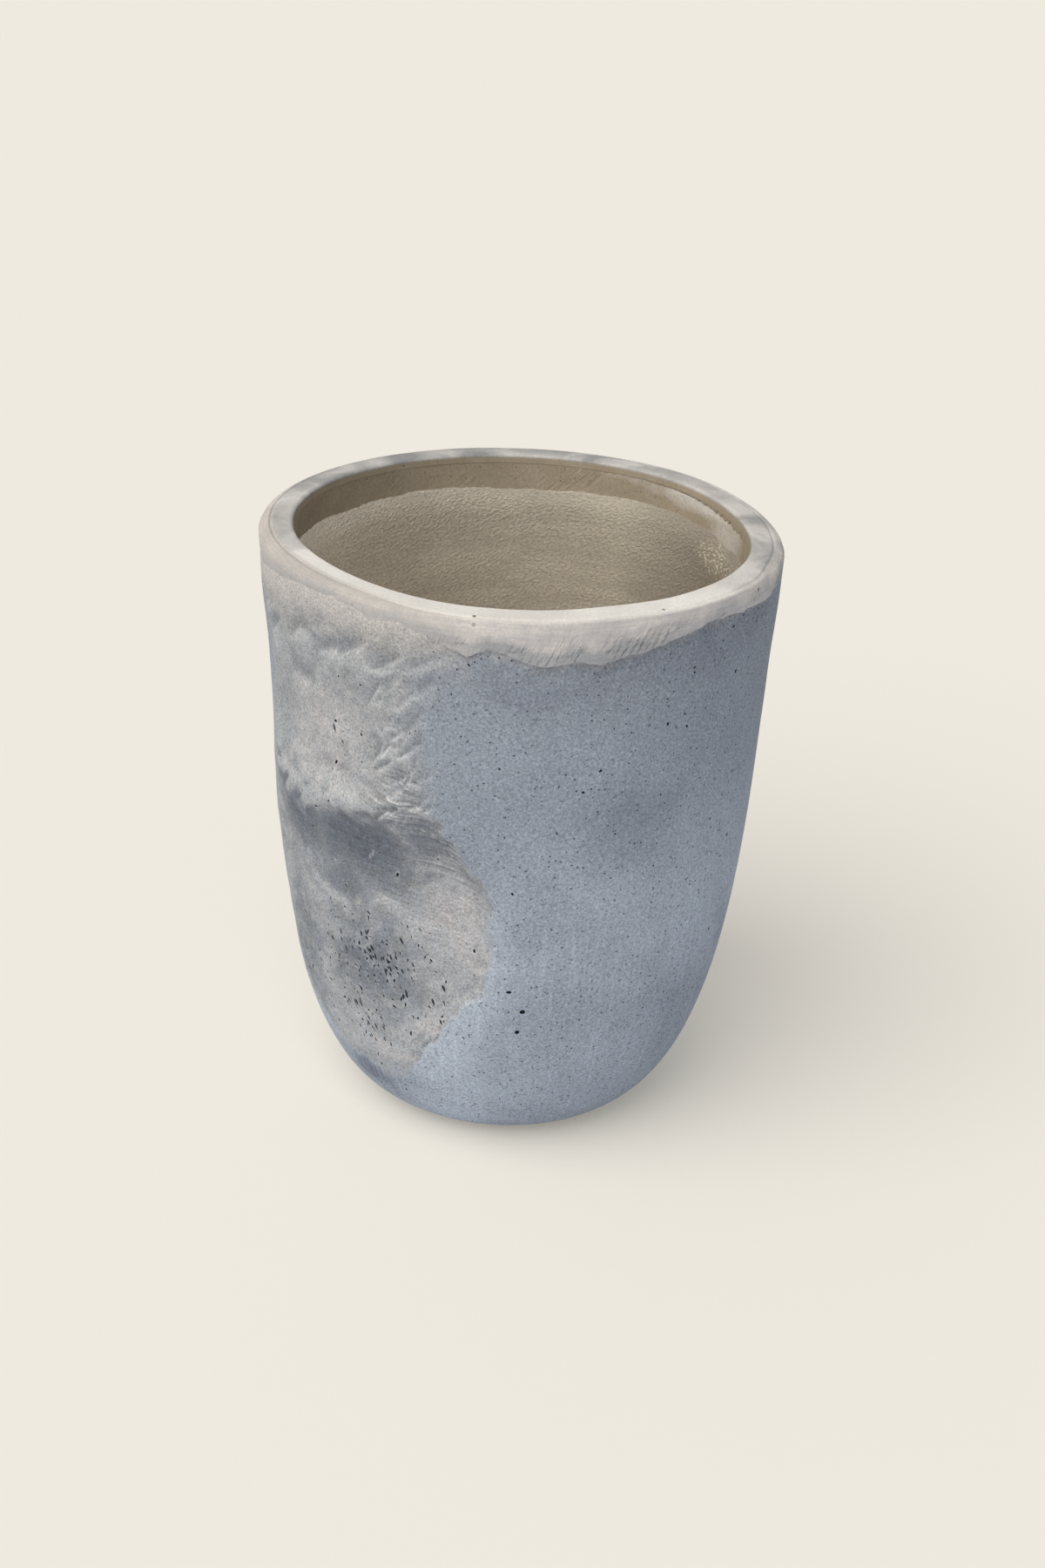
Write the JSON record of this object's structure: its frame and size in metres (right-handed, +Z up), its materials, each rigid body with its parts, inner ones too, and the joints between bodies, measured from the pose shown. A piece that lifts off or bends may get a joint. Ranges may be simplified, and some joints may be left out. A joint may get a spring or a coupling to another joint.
{
  "type": "concrete floor planter",
  "caption": "Round concrete floor planter with a rounded base, hewn side, pale trowelled rim and lined well, drained through a sleeve with a pull-out rubber plug.",
  "frame": {"origin": "on the floor, in the middle of the standing face between the foot pads", "axes": "+Z up out of the mouth, -Y towards the viewer of the picture, +X to the viewer's right"},
  "size_m": [0.4448, 0.45, 0.53],
  "materials": {
    "cast_concrete": "matt",
    "rim_render": "matt, trowelled",
    "lining_render": "matt, trowelled",
    "sleeve_plastic": "matt",
    "plug_rubber": "matt",
    "pad_rubber": "matt"
  },
  "bodies": {
    "pot": {"cast_shell": "cast_concrete", "rim_coat": "rim_render", "inner_lining": "lining_render", "drain_sleeve": "sleeve_plastic", "foot_pad_1": "pad_rubber", "foot_pad_2": "pad_rubber", "foot_pad_3": "pad_rubber", "foot_pad_4": "pad_rubber"},
    "plug": {"drain_plug": "plug_rubber"}
  },
  "joints": [
    {"name": "plug_pull", "type": "slide", "parent": "pot", "child": "plug", "axis": [0, 0, 1], "range_m": [0, 0.07]}
  ]
}
